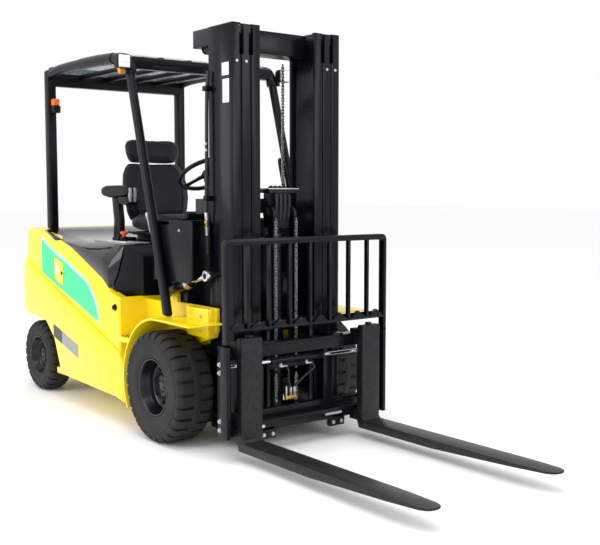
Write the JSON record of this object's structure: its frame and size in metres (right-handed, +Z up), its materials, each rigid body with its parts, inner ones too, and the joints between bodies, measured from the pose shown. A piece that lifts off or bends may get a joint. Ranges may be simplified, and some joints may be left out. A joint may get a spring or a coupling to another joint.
{
  "type": "electric counterbalance forklift",
  "caption": "Seated-rider electric counterbalance forklift with a three-stage mast, side-shifter, load backrest, forks and an overhead guard.",
  "frame": {"origin": "on the floor, at the middle of the overall box from the rear of the counterweight to the fork tips", "axes": "+X forward along the forks, +Y to the driver's left, +Z up"},
  "size_m": [3.88, 1.2, 2.12],
  "materials": {
    "frame_yellow": "gloss yellow paint",
    "counterweight_yellow": "gloss yellow paint on cast iron",
    "battery_grey": "grey battery block",
    "black_plastic": "black moulded plastic",
    "seat_vinyl": "dark vinyl",
    "black_paint": "satin black paint",
    "roof_clear": "clear polycarbonate",
    "tyre_rubber": "solid rubber",
    "rim_black": "black rim paint",
    "worn_steel": "worn dark steel",
    "chrome": "hard chrome",
    "lamp_white": "white lens"
  },
  "bodies": {
    "chassis": {"chassis_frame": "frame_yellow", "counterweight": "counterweight_yellow", "battery": "battery_grey", "dash_cowl": "black_plastic", "overhead_guard": "black_paint", "roof_panel": "roof_clear", "drive_axle": "black_paint", "steer_axle": "black_paint", "work_lamp_right": "lamp_white", "work_lamp_left": "lamp_white"},
    "hood": {"hood": "black_plastic", "seat_base": "black_plastic", "seat_cushion": "seat_vinyl", "seat_back": "seat_vinyl"},
    "steering_wheel": {"steering_wheel": "black_plastic"},
    "front_wheel_right": {"front_tyre_right": "tyre_rubber", "front_rim_right": "rim_black"},
    "front_wheel_left": {"front_tyre_left": "tyre_rubber", "front_rim_left": "rim_black"},
    "knuckle_right": {"knuckle_right": "black_paint"},
    "knuckle_left": {"knuckle_left": "black_paint"},
    "rear_wheel_right": {"rear_tyre_right": "tyre_rubber", "rear_rim_right": "rim_black"},
    "rear_wheel_left": {"rear_tyre_left": "tyre_rubber", "rear_rim_left": "rim_black"},
    "outer_mast": {"outer_mast": "black_paint", "lift_cylinder_right": "black_paint", "lift_cylinder_left": "black_paint"},
    "middle_mast": {"middle_mast": "black_paint", "lift_rod_right": "chrome", "lift_rod_left": "chrome"},
    "inner_mast": {"inner_mast": "black_paint", "free_lift_cylinder": "black_paint"},
    "free_lift_rod": {"free_lift_rod": "worn_steel"},
    "carriage": {"carriage": "black_paint", "side_shift_cylinder": "chrome", "lift_chain": "worn_steel"},
    "side_shifter": {"side_shifter": "black_paint", "load_backrest": "black_paint", "fork_right": "worn_steel", "fork_left": "worn_steel"},
    "tilt_cylinder_right": {"tilt_cylinder_right": "black_paint"},
    "tilt_cylinder_left": {"tilt_cylinder_left": "black_paint"},
    "tilt_rod_right": {"tilt_rod_right": "chrome"},
    "tilt_rod_left": {"tilt_rod_left": "chrome"}
  },
  "joints": [
    {"name": "front_wheel_right_spin", "type": "hinge", "parent": "chassis", "child": "front_wheel_right", "pos_m": [0.12, -0.4925, 0.29], "axis": [0, 1, 0], "continuous": true},
    {"name": "front_wheel_left_spin", "type": "hinge", "parent": "chassis", "child": "front_wheel_left", "pos_m": [0.12, 0.4925, 0.29], "axis": [0, 1, 0], "continuous": true},
    {"name": "steer_left", "type": "hinge", "parent": "chassis", "child": "knuckle_left", "pos_m": [-1.53, 0.325, 0.228], "axis": [0, 0, 1], "range_deg": [-70, 70]},
    {"name": "steer_right", "type": "hinge", "parent": "chassis", "child": "knuckle_right", "pos_m": [-1.53, -0.325, 0.228], "axis": [0, 0, 1], "range_deg": [-70, 70]},
    {"name": "rear_wheel_right_spin", "type": "hinge", "parent": "knuckle_right", "child": "rear_wheel_right", "pos_m": [-1.53, -0.4475, 0.228], "axis": [0, 1, 0], "continuous": true},
    {"name": "rear_wheel_left_spin", "type": "hinge", "parent": "knuckle_left", "child": "rear_wheel_left", "pos_m": [-1.53, 0.4475, 0.228], "axis": [0, 1, 0], "continuous": true},
    {"name": "steering_wheel_turn", "type": "hinge", "parent": "chassis", "child": "steering_wheel", "pos_m": [-0.26, 0, 1.4], "axis": [-0.5115, 0, 0.8593], "continuous": true},
    {"name": "hood_lid", "type": "hinge", "parent": "chassis", "child": "hood", "pos_m": [-1.32, 0, 1.06], "axis": [0, -1, 0], "range_deg": [0, 70]},
    {"name": "mast_tilt", "type": "hinge", "parent": "chassis", "child": "outer_mast", "pos_m": [0.12, 0, 0.29], "axis": [0, 1, 0], "range_deg": [-6, 6]},
    {"name": "middle_lift", "type": "slide", "parent": "outer_mast", "child": "middle_mast", "axis": [0, 0, 1], "range_m": [0, 1.6]},
    {"name": "inner_lift", "type": "slide", "parent": "middle_mast", "child": "inner_mast", "axis": [0, 0, 1], "range_m": [0, 1.6]},
    {"name": "free_lift", "type": "slide", "parent": "inner_mast", "child": "carriage", "axis": [0, 0, 1], "range_m": [0, 1.2], "deforming": ["lift_chain"]},
    {"name": "free_lift_stroke", "type": "slide", "parent": "inner_mast", "child": "free_lift_rod", "axis": [0, 0, 1], "range_m": [0, 0.6]},
    {"name": "side_shift", "type": "slide", "parent": "carriage", "child": "side_shifter", "axis": [0, 1, 0], "range_m": [-0.1, 0.1]},
    {"name": "tilt_cylinder_right_swing", "type": "hinge", "parent": "chassis", "child": "tilt_cylinder_right", "pos_m": [-0.02, -0.412, 0.765], "axis": [0, 1, 0], "range_deg": [-12, 12]},
    {"name": "tilt_cylinder_left_swing", "type": "hinge", "parent": "chassis", "child": "tilt_cylinder_left", "pos_m": [-0.02, 0.412, 0.765], "axis": [0, 1, 0], "range_deg": [-12, 12]},
    {"name": "tilt_rod_right_stroke", "type": "slide", "parent": "tilt_cylinder_right", "child": "tilt_rod_right", "axis": [0.9624, 0, 0.2715], "range_m": [-0.075, 0.075]},
    {"name": "tilt_rod_left_stroke", "type": "slide", "parent": "tilt_cylinder_left", "child": "tilt_rod_left", "axis": [0.9624, 0, 0.2715], "range_m": [-0.075, 0.075]}
  ],
  "couplings": [
    {"joint": "steer_right", "follows": "steer_left", "ratio": 1},
    {"joint": "inner_lift", "follows": "middle_lift", "ratio": 1},
    {"joint": "free_lift_stroke", "follows": "free_lift", "ratio": 0.5},
    {"joint": "tilt_cylinder_right_swing", "follows": "mast_tilt", "ratio": 0.99378},
    {"joint": "tilt_cylinder_left_swing", "follows": "mast_tilt", "ratio": 0.99378},
    {"joint": "tilt_rod_right_stroke", "follows": "mast_tilt", "m_per_rad": 0.49429},
    {"joint": "tilt_rod_left_stroke", "follows": "mast_tilt", "m_per_rad": 0.49429}
  ]
}
